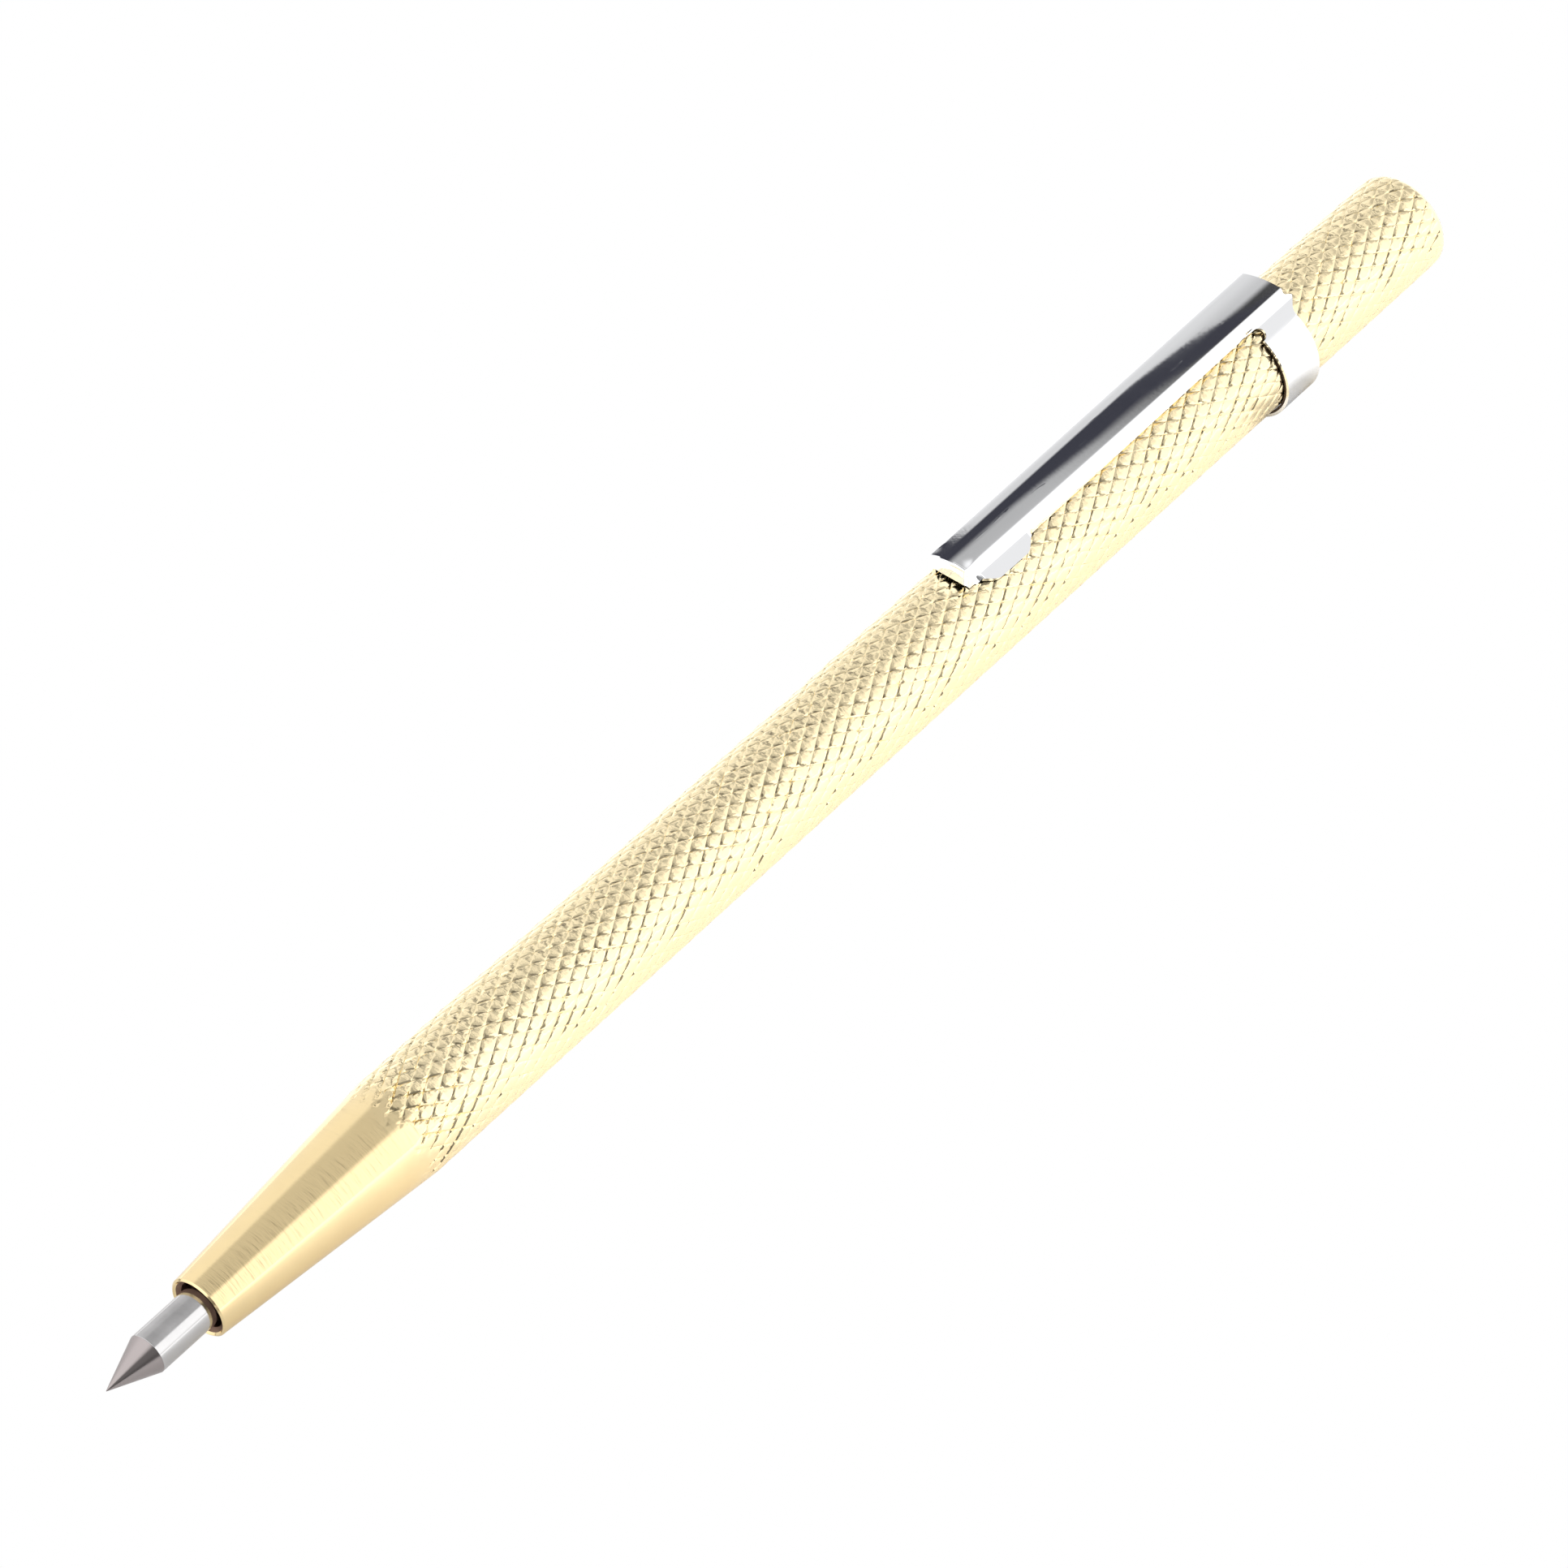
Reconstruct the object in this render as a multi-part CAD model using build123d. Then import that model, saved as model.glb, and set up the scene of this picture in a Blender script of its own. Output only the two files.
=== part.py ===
from build123d import *
from math import asin, cos, radians, sin, sqrt
import os

# Pocket scriber: a knurled barrel with a tapered nose, a carbide point held by a hidden collet, and a
# sprung pocket clip.
#
# Each piece is drawn in the pen's own frame: X runs from the sharp tip towards the rear, the axis of the
# barrel is the X axis, and the clip stands on the +Z side. to_row_frame then moves every piece so that the
# origin is at the bottom centre of the whole scriber. Millimetres throughout.

# ---- point: a carbide cone brazed to a steel shank ----
TIP_FLAT_R = 0.03
CONE_LENGTH = 3.95
SHANK_R = 1.55
SHANK_END = 37.5
SHANK_TAIL_CHAMFER = 0.3
SPIGOT_R = 0.9
SPIGOT_LENGTH = 1.9
BRAZE_GAP = 0.03

# ---- barrel: tapered nose, knurled grip and rounded rear edge, turned from one tube ----
MOUTH_X = 8.86
MOUTH_OUTER_R = 2.4
MOUTH_EDGE = 0.12
MOUTH_COUNTERSINK = 0.2
MOUTH_BORE_R = 1.85
SHOULDER_X = 28.8
BARREL_R = 4.0
BARREL_END = 141.0
REAR_EDGE_R = 1.0

# ---- bores behind the mouth ----
SEAT_FRONT_X = 15.2
SEAT_REAR_X = 18.6
MAIN_BORE_R = 2.45
THREAD_BORE_R = 2.75
THREAD_BORE_X = 129.4

# ---- collet, closed on the shank by being pushed forward into the seat ----
COLLET_FRONT = 16.0
COLLET_END = 33.0
COLLET_R = 2.4
COLLET_GRIP_END = 22.0
COLLET_RELIEF_R = 1.8
COLLET_SLOT = 0.35
COLLET_SLOT_END = 29.0
SEAT_CLEARANCE = 0.04
GRIP_CLEARANCE = 0.03

# ---- push tube between the collet and the rear screw ----
TUBE_R = 2.38
TUBE_BORE_R = 1.8
TUBE_END = 130.95
FACE_GAP = 0.03

# ---- rear screw, its dome just inside the barrel's flat end ----
SCREW_R = 2.71
SCREW_FRONT = 130.98
SCREW_DOME_X = 140.9
SCREW_EDGE_X = 140.7
SCREW_LEAD_CHAMFER = 0.35
DRIVER_SLOT_WIDTH = 0.9
DRIVER_SLOT_DEPTH = 1.1

# ---- clip: one sheet-metal stamping, parted at the root where its arm flexes ----
SHEET = 0.4
BAND_INNER_R = 4.05
BAND_FRONT = 121.4
BAND_REAR = 124.9
BAND_SEAM_GAP = 0.3
ARM_FRONT = 89.0
ARM_ROOT = 121.35
ARM_CROWN_H = 5.62
ARM_CORNER_H = 5.37
ARM_FRONT_HALF_WIDTH = 1.73
ARM_REAR_HALF_WIDTH = 1.95
ARM_CORNER_R = 0.2
END_WALL_BOTTOM_H = 4.45
FLANGE_START = 89.6
ARM_CLEARANCE_R = 4.1
LOBE_X = 92.6
LOBE_HALF_LENGTH = 2.7
LOBE_HALF_WIDTH = 2.45
LOBE_ROOT_HALF_WIDTH = 1.5
RELIEF_X = 121.2
RELIEF_R = 0.55
RELIEF_ANGLE = 32.0

BAND_OUTER_R = BAND_INNER_R + SHEET
AXIS_HEIGHT = sqrt(BAND_OUTER_R**2 - (BAND_SEAM_GAP / 2) ** 2)
OVERALL_LENGTH = BARREL_END


def to_row_frame(piece):
    """Moves a piece from the pen's own frame to the row frame, at the bottom centre of the scriber."""
    return Pos(-OVERALL_LENGTH / 2, 0, AXIS_HEIGHT) * piece


def turned(*edges):
    """A solid of revolution about X from edges that close an outline in X and radius."""
    return revolve(make_face(Curve() + list(edges)), Axis.X, 360)


def turned_outline(*points):
    """A solid of revolution about X from the corners (x, radius) of its half section."""
    return turned(Polyline(*points, close=True))


def rod(radius, x_from, x_to):
    """A round bar on the X axis."""
    return Pos(x_from, 0, 0) * Rot(0, 90, 0) * Cylinder(
        radius, x_to - x_from, align=(Align.CENTER, Align.CENTER, Align.MIN)
    )


def block(x_from, x_to, y_from, y_to, z_from, z_to):
    """A box between two corners."""
    size = (x_to - x_from, y_to - y_from, z_to - z_from)
    return Pos(x_from, y_from, z_from) * Box(*size, align=(Align.MIN, Align.MIN, Align.MIN))


def carbide_tip():
    """The sharp cone, with the spigot that is brazed into the shank."""
    return turned_outline(
        (0, 0),
        (0, TIP_FLAT_R),
        (CONE_LENGTH, SHANK_R),
        (CONE_LENGTH, SPIGOT_R),
        (CONE_LENGTH + SPIGOT_LENGTH, SPIGOT_R),
        (CONE_LENGTH + SPIGOT_LENGTH, 0),
    )


def point_shank():
    """The round steel shank behind the carbide, with the blind socket for its spigot."""
    socket_end = CONE_LENGTH + SPIGOT_LENGTH + BRAZE_GAP
    socket_r = SPIGOT_R + BRAZE_GAP
    return turned_outline(
        (CONE_LENGTH, socket_r),
        (CONE_LENGTH, SHANK_R),
        (SHANK_END - SHANK_TAIL_CHAMFER, SHANK_R),
        (SHANK_END, SHANK_R - SHANK_TAIL_CHAMFER),
        (SHANK_END, 0),
        (socket_end, 0),
        (socket_end, socket_r),
    )


def barrel():
    """The tube: cone-shaped nose, straight grip and rounded rear edge outside, stepped bore inside."""
    nose_slope = (BARREL_R - MOUTH_OUTER_R) / (SHOULDER_X - MOUTH_X)
    edge_mid = REAR_EDGE_R * (1 - cos(radians(45)))
    arc_start = (BARREL_END - REAR_EDGE_R, BARREL_R)
    arc_mid = (BARREL_END - edge_mid, BARREL_R - edge_mid)
    arc_end = (BARREL_END, BARREL_R - REAR_EDGE_R)
    return turned(
        Polyline(
            arc_end,
            (BARREL_END, THREAD_BORE_R),
            (THREAD_BORE_X, THREAD_BORE_R),
            (THREAD_BORE_X, MAIN_BORE_R),
            (SEAT_REAR_X, MAIN_BORE_R),
            (SEAT_FRONT_X, MOUTH_BORE_R),
            (MOUTH_X + MOUTH_COUNTERSINK, MOUTH_BORE_R),
            (MOUTH_X, MOUTH_BORE_R + MOUTH_COUNTERSINK),
            (MOUTH_X, MOUTH_OUTER_R - MOUTH_EDGE),
            (MOUTH_X + MOUTH_EDGE, MOUTH_OUTER_R + MOUTH_EDGE * nose_slope),
            (SHOULDER_X, BARREL_R),
            arc_start,
        ),
        ThreePointArc(arc_start, arc_mid, arc_end),
    )


def collet():
    """The split brass collet: four jaws with a tapered nose, on a plain tail."""
    taper = (MAIN_BORE_R - MOUTH_BORE_R) / (SEAT_REAR_X - SEAT_FRONT_X)
    front_r = MOUTH_BORE_R + (COLLET_FRONT - SEAT_FRONT_X) * taper - SEAT_CLEARANCE
    taper_end = COLLET_FRONT + (COLLET_R - front_r) / taper
    grip_r = SHANK_R + GRIP_CLEARANCE
    body = turned_outline(
        (COLLET_FRONT, grip_r),
        (COLLET_FRONT, front_r),
        (taper_end, COLLET_R),
        (COLLET_END, COLLET_R),
        (COLLET_END, COLLET_RELIEF_R),
        (COLLET_GRIP_END, COLLET_RELIEF_R),
        (COLLET_GRIP_END, grip_r),
    )
    half = COLLET_SLOT / 2
    span = COLLET_R + 1
    body -= block(COLLET_FRONT - 1, COLLET_SLOT_END, -half, half, -span, span)
    body -= block(COLLET_FRONT - 1, COLLET_SLOT_END, -span, span, -half, half)
    return body


def push_tube():
    """The thin steel tube that carries the rear screw's thrust to the collet."""
    return rod(TUBE_R, COLLET_END + FACE_GAP, TUBE_END) - rod(TUBE_BORE_R, COLLET_END, TUBE_END + 1)


def rear_screw():
    """The domed screw that closes the barrel and clamps the point, with a slot for a driver or coin."""
    screw = turned(
        Polyline(
            (SCREW_DOME_X, 0),
            (SCREW_FRONT, 0),
            (SCREW_FRONT, SCREW_R - SCREW_LEAD_CHAMFER),
            (SCREW_FRONT + SCREW_LEAD_CHAMFER, SCREW_R),
            (SCREW_EDGE_X, SCREW_R),
        ),
        dome_arc(),
    )
    half = DRIVER_SLOT_WIDTH / 2
    span = SCREW_R + 1
    floor_x = SCREW_DOME_X - DRIVER_SLOT_DEPTH
    return screw - block(floor_x, SCREW_DOME_X + 1, -span, span, -half, half)


def dome_arc():
    """The half section of the screw's shallow dome, from its rim to the axis."""
    rise = SCREW_DOME_X - SCREW_EDGE_X
    dome_r = (SCREW_R**2 + rise**2) / (2 * rise)
    half_angle = asin(SCREW_R / dome_r) / 2
    middle = (SCREW_DOME_X - dome_r * (1 - cos(half_angle)), dome_r * sin(half_angle))
    return ThreePointArc((SCREW_EDGE_X, SCREW_R), middle, (SCREW_DOME_X, 0))


def channel_section(x, half_width, inset):
    """The arm's closed outline across X: flat sides and a crowned top, moved in by inset."""
    side = half_width - inset
    corner = ARM_CORNER_H - inset
    crown = ARM_CROWN_H - inset
    outline = make_face(
        Curve()
        + [
            Polyline((side, corner), (side, 0), (-side, 0), (-side, corner)),
            ThreePointArc((-side, corner), (0, crown), (side, corner)),
        ]
    )
    rounded = [v for v in outline.vertices() if v.Y > corner - 0.01]
    outline = fillet(rounded, ARM_CORNER_R)
    return Plane(origin=(x, 0, 0), x_dir=(0, 1, 0), z_dir=(1, 0, 0)) * outline


def channel(x_from, x_to, inner_from):
    """The hollow channel of the clip between two stations, open below and from inner_from rearwards."""
    widening = (ARM_REAR_HALF_WIDTH - ARM_FRONT_HALF_WIDTH) / (BAND_REAR - ARM_FRONT)

    def half_width(x):
        return ARM_FRONT_HALF_WIDTH + (x - ARM_FRONT) * widening

    outer = loft([channel_section(x, half_width(x), 0) for x in (x_from, x_to)])
    inner_ends = (inner_from, x_to + 1)
    inner = loft([channel_section(x, half_width(x), SHEET) for x in inner_ends])
    return outer - inner


def relief_hole():
    """The round hole where each flange of the arm meets the band's front edge."""
    reach = BAND_OUTER_R + 2
    drill = Pos(RELIEF_X, 0, 0) * Cylinder(RELIEF_R, reach, align=(Align.CENTER, Align.CENTER, Align.MIN))
    pair = Part()
    for side in (-1, 1):
        pair += Rot(side * RELIEF_ANGLE, 0, 0) * drill
    return pair


def lobe(side):
    """A rounded ear of the flange that spreads outwards and bears on the barrel."""
    shell = rod(ARM_CLEARANCE_R + SHEET, LOBE_X - LOBE_HALF_LENGTH, LOBE_X + LOBE_HALF_LENGTH)
    shell -= rod(ARM_CLEARANCE_R, LOBE_X - LOBE_HALF_LENGTH - 1, LOBE_X + LOBE_HALF_LENGTH + 1)
    mask = Pos(LOBE_X, side * LOBE_ROOT_HALF_WIDTH, 0) * extrude(
        Ellipse(LOBE_HALF_LENGTH, LOBE_HALF_WIDTH - LOBE_ROOT_HALF_WIDTH), BARREL_R * 2
    )
    return shell & mask


def clip_arm():
    """The sprung arm: a crowned channel with a folded end wall and a lobe on each flange."""
    arm = channel(ARM_FRONT, ARM_ROOT, ARM_FRONT + SHEET)
    arm -= block(ARM_FRONT - 1, FLANGE_START, -3, 3, 0, END_WALL_BOTTOM_H)
    arm -= rod(ARM_CLEARANCE_R, ARM_FRONT - 1, ARM_ROOT + 1)
    for side in (-1, 1):
        arm += lobe(side)
    return arm - relief_hole()


def clip_band():
    """The band round the barrel, butted at the bottom, with the arm's channel running over it."""
    wings = rod(BAND_OUTER_R, BAND_FRONT, BAND_REAR)
    mouth = ARM_REAR_HALF_WIDTH - SHEET
    wings -= block(BAND_FRONT - 1, BAND_REAR + 1, -mouth, mouth, 0, BAND_OUTER_R + 1)
    band = wings + channel(BAND_FRONT, BAND_REAR, BAND_FRONT - 1)
    band -= rod(BAND_INNER_R, BAND_FRONT - 1, BAND_REAR + 1)
    half = BAND_SEAM_GAP / 2
    band -= block(BAND_FRONT - 1, BAND_REAR + 1, -half, half, -BAND_OUTER_R - 1, 0)
    return band - relief_hole()


PIECES = {
    "carbide_tip": carbide_tip,
    "point_shank": point_shank,
    "barrel": barrel,
    "collet": collet,
    "push_tube": push_tube,
    "rear_screw": rear_screw,
    "clip_band": clip_band,
    "clip_arm": clip_arm,
}

os.makedirs("parts", exist_ok=True)
for name, make in PIECES.items():
    export_step(to_row_frame(make()), f"parts/{name}.step")
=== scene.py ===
"""Pocket scriber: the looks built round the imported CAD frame.

Sizes are in millimetres in the pen's own frame, where X runs from the sharp tip towards the rear, the
axis of the barrel is the X axis and the clip stands on the +Z side. place() turns them into metres in
the row frame.
"""
from math import asin, cos, exp, pi, radians, sin, sqrt, tan

import bmesh
import bpy
import numpy as np
from mathutils import Matrix, Vector


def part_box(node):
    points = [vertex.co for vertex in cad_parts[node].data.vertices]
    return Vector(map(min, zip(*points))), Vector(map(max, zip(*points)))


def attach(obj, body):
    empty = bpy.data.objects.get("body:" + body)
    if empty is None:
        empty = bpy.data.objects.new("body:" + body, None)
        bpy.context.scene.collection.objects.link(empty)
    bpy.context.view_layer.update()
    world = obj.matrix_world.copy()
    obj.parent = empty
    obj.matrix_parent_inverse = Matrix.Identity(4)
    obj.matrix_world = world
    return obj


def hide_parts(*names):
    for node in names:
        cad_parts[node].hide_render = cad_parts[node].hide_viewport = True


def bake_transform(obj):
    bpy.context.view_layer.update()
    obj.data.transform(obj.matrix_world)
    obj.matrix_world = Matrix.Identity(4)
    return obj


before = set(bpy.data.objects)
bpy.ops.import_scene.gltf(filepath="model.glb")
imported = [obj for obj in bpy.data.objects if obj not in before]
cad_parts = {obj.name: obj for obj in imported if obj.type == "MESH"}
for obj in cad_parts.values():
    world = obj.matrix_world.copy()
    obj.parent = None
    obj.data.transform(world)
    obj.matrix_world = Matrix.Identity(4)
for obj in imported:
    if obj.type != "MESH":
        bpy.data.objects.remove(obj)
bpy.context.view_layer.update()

MM = 0.001
BARREL_LOW, BARREL_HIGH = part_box("barrel")
TIP_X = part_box("carbide_tip")[0].x
AXIS_Z = (BARREL_LOW.z + BARREL_HIGH.z) / 2

# ---- barrel ----
BARREL_R = (BARREL_HIGH.z - BARREL_LOW.z) / 2 / MM
MOUTH_X = (BARREL_LOW.x - TIP_X) / MM
BARREL_END = (BARREL_HIGH.x - TIP_X) / MM
MOUTH_R = 2.4
MOUTH_BORE_R = 1.85
MOUTH_EDGE = 0.12
MOUTH_COUNTERSINK = 0.4
# How far into the mouth the gold reaches; deeper in, the bore is painted dark brown as painted shade.
MOUTH_GOLD_DEPTH = 0.14
SHOULDER_X = 28.8
REAR_EDGE_R = 1.0
SEAT_FRONT_X = 15.2
SEAT_REAR_X = 18.6
MAIN_BORE_R = 2.45
THREAD_BORE_R = 2.75
THREAD_BORE_X = 129.4
THREAD_CHAMFER = 0.08
PAINTED_SHADE_RINGS = 5
TAPER_RINGS = 28

# ---- diamond knurl ----
# The lattice has KNURL_STEPS steps from one groove to the next, round the barrel and along it.
KNURL_STARTS = 22
KNURL_AXIAL_PITCH = 1.96
KNURL_DEPTH = 0.078
KNURL_STEPS = 6
KNURL_STEP_LENGTH = KNURL_AXIAL_PITCH / KNURL_STEPS
KNURL_COLUMNS = KNURL_STARTS * KNURL_STEPS
KNURL_FROM_X = 26.2
KNURL_REAR_SHARE = 0.8
# Height over the groove's floor, step by step away from it, and how the steps crowd towards it.
KNURL_RISE = (0.0, 0.85, 0.97, 1.0)
KNURL_WALL = 0.7
KNURL_CROWDING = 0.12
# Unevenness: between grooves, between the edges of the diamonds, along each edge, and all over.
GROOVE_SPREAD = 0.12
EDGE_DEPTHS = (0.6, 1.25)
EDGE_START = 1.2
EDGE_FADE = 0.75
EDGES_PER_GROOVE = 97
KNURL_NOISE = 0.003
# The grooves are deeper where the taper meets them.
RUN_OUT_LENGTH = 2.2
RUN_OUT_DEPTH = 0.8

# ---- point ----
TURNED_SEGMENTS = 96
CONE_LENGTH = 3.95
CONE_RINGS = 8
TIP_FACE_R = 0.018
TIP_FLAT_R = 0.03
TIP_BEVEL = 0.01
SHANK_R = 1.55
SHANK_END = 37.5
SHANK_RINGS = 10
SHANK_TAIL_CHAMFER = 0.3
POINT_EDGE = 0.02

# ---- clip ----
SHEET = 0.4
CLIP_FRONT = 88.5
END_WALL_LEAN = 0.15
END_WALL_SKEW = 0.12
CLIP_REAR = 124.7
EAR_REACH = 0.9
EAR_Z = 4.2
EAR_HALF_WIDTH = 0.42
CROWN_H = 5.62
CROWN_DROP = 0.25
FRONT_HALF_WIDTH = 1.73
REAR_HALF_WIDTH = 1.95
EDGE_BEND_R = 0.28
INNER_BEND_R = 0.04
NOSE_BEND_R = 0.1
NOSE_DROP = 0.02
NOSE_LENGTH = 2.0
FOOT_BEND_R = 0.25
FOOT_BEND_SHARE = 0.6
PATCH_TILT = radians(38)
BAND_OUTER_R = 4.45
BAND_FRONT = 121.05
BAND_BLEND = 0.9
SEAM_HALF_GAP = 0.15
FLANGE_FROM_X = 95.5
FLANGE_FRONT_Z = 3.66
FLANGE_REAR_Z = 4.12
END_WALL_BOTTOM = 4.3
END_WALL_LIFT_FADE = 1.5
LOBE_X = 92.4
LOBE_HALF_LENGTH = 3.2
LOBE_BLEND = 0.5
LOBE_TAPER = 1.8
LOBE_ROOT = 0.45
LOBE_LENGTH = 1.4
NOTCH_R = 0.54
NOTCH_DEPTH = 0.62
BEARING_R = 4.07
# Share of a rim's width, from the outer face, that stays chrome; the rest of the band's front rim is
# painted shadow.
RIM_BRIGHT = 0.55
TOUCHING = 0.01


def place(x, y, z):
    """A point in the pen's frame, in millimetres, as metres in the row frame."""
    return (TIP_X + x * MM, y * MM, AXIS_Z + z * MM)


# ---------------------------------------------------------------- camera, floor and light

CAMERA_TARGET = Vector((-0.00114, 0.00024, 0.00378))
CAMERA_DISTANCE = 0.58415
CAMERA_AZIMUTH = -40.683
CAMERA_ELEVATION = 40.111
CAMERA_ROLL = -13.136
CAMERA_LENS = 191.81


def make_camera():
    """The camera, aimed at the middle of the scriber from the front left and above."""
    azimuth = radians(CAMERA_AZIMUTH)
    elevation = radians(CAMERA_ELEVATION)
    back = Vector((sin(azimuth) * cos(elevation), -cos(azimuth) * cos(elevation), sin(elevation)))
    level_right = Vector((0, 0, 1)).cross(back).normalized()
    level_up = back.cross(level_right)
    roll = Matrix.Rotation(radians(CAMERA_ROLL), 3, back)
    right = roll @ level_right
    up = roll @ level_up
    data = bpy.data.cameras.new("camera")
    data.lens = CAMERA_LENS
    data.sensor_width = 36
    data.clip_start = 0.01
    camera = bpy.data.objects.new("camera", data)
    rotation = Matrix((right, up, back)).transposed()
    camera.matrix_world = Matrix.Translation(CAMERA_TARGET + back * CAMERA_DISTANCE) @ rotation.to_4x4()
    bpy.context.scene.collection.objects.link(camera)
    bpy.context.scene.camera = camera


def node_tree(owner):
    """Empties the shader tree of a material or world and gives a helper that adds nodes to it."""
    owner.use_nodes = True
    tree = owner.node_tree
    tree.nodes.clear()

    def add(kind, inputs=(), **settings):
        node = tree.nodes.new(kind)
        for name, value in settings.items():
            setattr(node, name, value)
        for key, value in dict(inputs).items():
            socket = node.inputs[key]
            if isinstance(value, bpy.types.NodeSocket):
                tree.links.new(value, socket)
            else:
                socket.default_value = value
        return node

    return add


def ramp(node, stops, interpolation="EASE"):
    """Sets a colour ramp's stops from (position, colour) pairs."""
    band = node.color_ramp
    band.interpolation = interpolation
    while len(band.elements) > 1:
        band.elements.remove(band.elements[-1])
    first, *others = stops
    band.elements[0].position = first[0]
    band.elements[0].color = (*first[1], 1)
    for position, colour in others:
        band.elements.new(position).color = (*colour, 1)


def grey(level, tint=(1, 1, 1)):
    """A grey of this brightness, tinted if wanted."""
    return tuple(level * t for t in tint)


# Light from each side of the scriber. Angles go round the X axis from straight overhead, positive
# towards +Y; long strips of light and dark lie parallel to the scriber. Each card is what stands in a
# direction that leans so far along X, and neighbouring cards blend into each other. From the camera each
# piece mirrors a range of leans of its own, and its card was set for how the piece looks from there.
# From other sides the pieces mirror other parts of the same studio.
TIP_CARD = (
    (-180, 0.9),
    (-120, 0.8),
    (-112, 0.2),
    (-74, 0.2),
    (-66, 0.3),
    (-36, 0.32),
    (-26, 1.1),
    (-12, 1.5),
    (30, 1.5),
    (80, 1.2),
    (104, 1.0),
    (180, 0.9),
)
GROOVE_CARD = (
    (-180, 0.9),
    (-104, 0.35),
    (-88, 0.3),
    (-62, 0.35),
    (-46, 0.7),
    (-34, 0.14),
    (-6, 0.16),
    (8, 0.4),
    (28, 0.45),
    (42, 1.1),
    (84, 1.1),
    (96, 0.5),
    (112, 0.9),
    (180, 0.9),
)
NOSE_CARD = (
    (-180, 0.9),
    (-104, 0.9),
    (-93, 0.75),
    (-88, 1.5),
    (-48, 1.5),
    (-36, 0.71),
    (22, 0.69),
    (34, 1.02),
    (104, 1.02),
    (180, 0.9),
)
SHANK_CARD = (
    (-180, 0.7),
    (-104, 0.7),
    (-90, 1.0),
    (-78, 2.0),
    (-45, 1.95),
    (-38, 0.34),
    (10, 0.32),
    (40, 0.5),
    (70, 0.8),
    (104, 0.8),
    (180, 0.7),
)
GRIP_CARD = (
    (-180, 0.9),
    (-104, 0.9),
    (-93, 0.75),
    (-88, 1.45),
    (-48, 1.4),
    (-38, 1.35),
    (-18, 1.3),
    (-9, 1.1),
    (25, 1.04),
    (40, 1.1),
    (104, 1.15),
    (180, 0.9),
)
CLIP_CARD = (
    (-180, 1.0),
    (-104, 0.95),
    (-93, 0.9),
    (-88, 1.4),
    (-50, 1.35),
    (-38, 0.9),
    (-24, 0.85),
    (-12, 0.62),
    (2, 0.52),
    (30, 0.48),
    (46, 0.6),
    (60, 0.7),
    (76, 0.9),
    (180, 1.0),
)
CLIP_REAR_CARD = (
    (-180, 1.0),
    (-104, 0.95),
    (-93, 0.9),
    (-88, 1.4),
    (-50, 1.35),
    (-38, 0.9),
    (-24, 0.85),
    (-14, 0.5),
    (-4, 0.07),
    (26, 0.06),
    (36, 0.6),
    (60, 0.75),
    (76, 0.9),
    (180, 1.0),
)
BEYOND_CARD = (
    (-180, 0.9),
    (-104, 0.9),
    (-88, 1.3),
    (-26, 1.2),
    (-14, 0.65),
    (30, 0.6),
    (48, 0.95),
    (180, 1.0),
)
# Each card after the first, and the leans between which it takes over from the one before it.
CARDS = (
    (TIP_CARD, None),
    (GROOVE_CARD, (-0.08, 0.06)),
    (NOSE_CARD, (0.17, 0.28)),
    (SHANK_CARD, (0.385, 0.403)),
    (GRIP_CARD, (0.422, 0.442)),
    (CLIP_CARD, (0.505, 0.52)),
    (CLIP_REAR_CARD, (0.536, 0.562)),
    (GRIP_CARD, (0.571, 0.58)),
    (BEYOND_CARD, (0.62, 0.7)),
)

# The dark stripe that the clip mirrors. Each change is (from, to, value at from, value at to), over
# leans along X. The values of top, foot and flare are angles in degrees: the top sinks in three stages
# towards the clip's rear, the foot drops with it, and the front end flares. The two blurs go over degrees.
STRIPE_COLOUR = (0.05, 0.051, 0.066)
STRIPE_FLARE = (0.5265, 0.5295, 22.0, 0.0)
STRIPE_TOP = (0.5515, 0.5588, 54.0, 44.0)
STRIPE_TOP_SINKS = (0.5588, 0.5665, 0.0, -23.0)
STRIPE_TOP_ENDS = (0.5668, 0.5688, 0.0, -14.0)
STRIPE_FOOT = (0.535, 0.545, 36.0, 26.0)
STRIPE_FOOT_DROPS = (0.551, 0.559, 0.0, -18.0)
STRIPE_TOP_BLUR = (-2.0, 2.5, 1.0, 0.0)
STRIPE_FOOT_BLUR = (-7.0, 6.0)
STRIPE_APPEARS = (0.505, 0.52)
STRIPE_VANISHES = (0.572, 0.58, 1.0, 0.0)


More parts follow.
